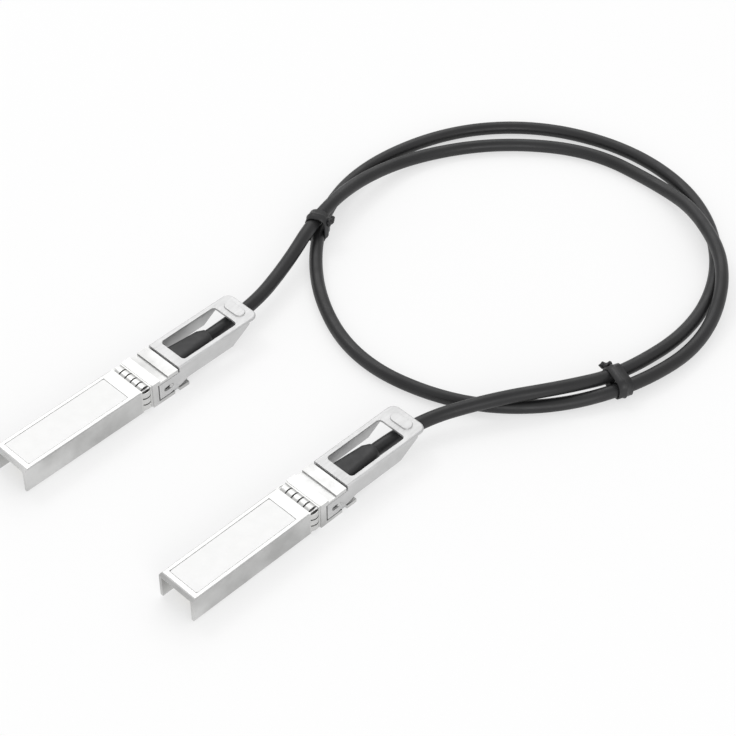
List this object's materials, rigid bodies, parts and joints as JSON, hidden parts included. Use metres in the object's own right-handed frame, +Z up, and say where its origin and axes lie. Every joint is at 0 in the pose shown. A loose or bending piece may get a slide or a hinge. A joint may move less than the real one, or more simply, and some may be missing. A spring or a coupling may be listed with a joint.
{
  "type": "direct attach copper cable",
  "caption": "Passive twinax network cable with a latching metal plug and pull ring on each end, lying in a loose tied coil.",
  "frame": {"origin": "on the floor, at the centre of the box round the two plugs, which lie side by side", "axes": "+X along both plugs from the open nose to the cable, +Z up, +Y from plug b to plug a"},
  "size_m": [0.2361, 0.133, 0.0109],
  "materials": {
    "plated_casting": "satin",
    "ring_steel": "satin",
    "lever_steel": "satin",
    "spring_steel": "satin",
    "circuit_board": "satin",
    "gold_plating": "gloss",
    "chip_black": "matte",
    "wire_insulation": "satin",
    "ferrule_brass": "satin",
    "boot_black": "satin",
    "cable_jacket": "satin",
    "tie_black": "satin"
  },
  "bodies": {
    "lead": {"base_shell_a": "plated_casting", "cover_shell_a": "plated_casting", "emi_collar_a": "spring_steel", "paddle_card_a": "circuit_board", "edge_contacts_a": "gold_plating", "card_components_a": "chip_black", "twinax_wires_a": "wire_insulation", "crimp_ferrule_a": "ferrule_brass", "boot_a": "boot_black", "latch_pin_a": "lever_steel", "latch_spring_a": "spring_steel", "base_shell_b": "plated_casting", "cover_shell_b": "plated_casting", "emi_collar_b": "spring_steel", "paddle_card_b": "circuit_board", "edge_contacts_b": "gold_plating", "card_components_b": "chip_black", "twinax_wires_b": "wire_insulation", "crimp_ferrule_b": "ferrule_brass", "boot_b": "boot_black", "latch_pin_b": "lever_steel", "latch_spring_b": "spring_steel", "cable": "cable_jacket", "tie_1": "tie_black", "tie_2": "tie_black"},
    "ring_a": {"pull_ring_a": "ring_steel"},
    "lever_a": {"latch_lever_a": "lever_steel"},
    "ring_b": {"pull_ring_b": "ring_steel"},
    "lever_b": {"latch_lever_b": "lever_steel"}
  },
  "joints": [
    {"name": "ring_pull_a", "type": "slide", "parent": "lead", "child": "ring_a", "axis": [1, 0, 0], "range_m": [0, 0.002], "stiffness_N_per_m": 1500, "springref_m": -0.001},
    {"name": "latch_tilt_a", "type": "hinge", "parent": "lead", "child": "lever_a", "pos_m": [0.0045, 0.034, 0.00125], "axis": [0, 1, 0], "range_deg": [0, 5.3], "deforming": ["latch_spring_a"]},
    {"name": "ring_pull_b", "type": "slide", "parent": "lead", "child": "ring_b", "axis": [1, 0, 0], "range_m": [0, 0.002], "stiffness_N_per_m": 1500, "springref_m": -0.001},
    {"name": "latch_tilt_b", "type": "hinge", "parent": "lead", "child": "lever_b", "pos_m": [0.0065, -0.034, 0.00125], "axis": [0, 1, 0], "range_deg": [0, 5.3], "deforming": ["latch_spring_b"]}
  ],
  "couplings": [
    {"joint": "latch_tilt_a", "follows": "ring_pull_a", "rad_per_m": 45.4},
    {"joint": "latch_tilt_b", "follows": "ring_pull_b", "rad_per_m": 45.4}
  ]
}
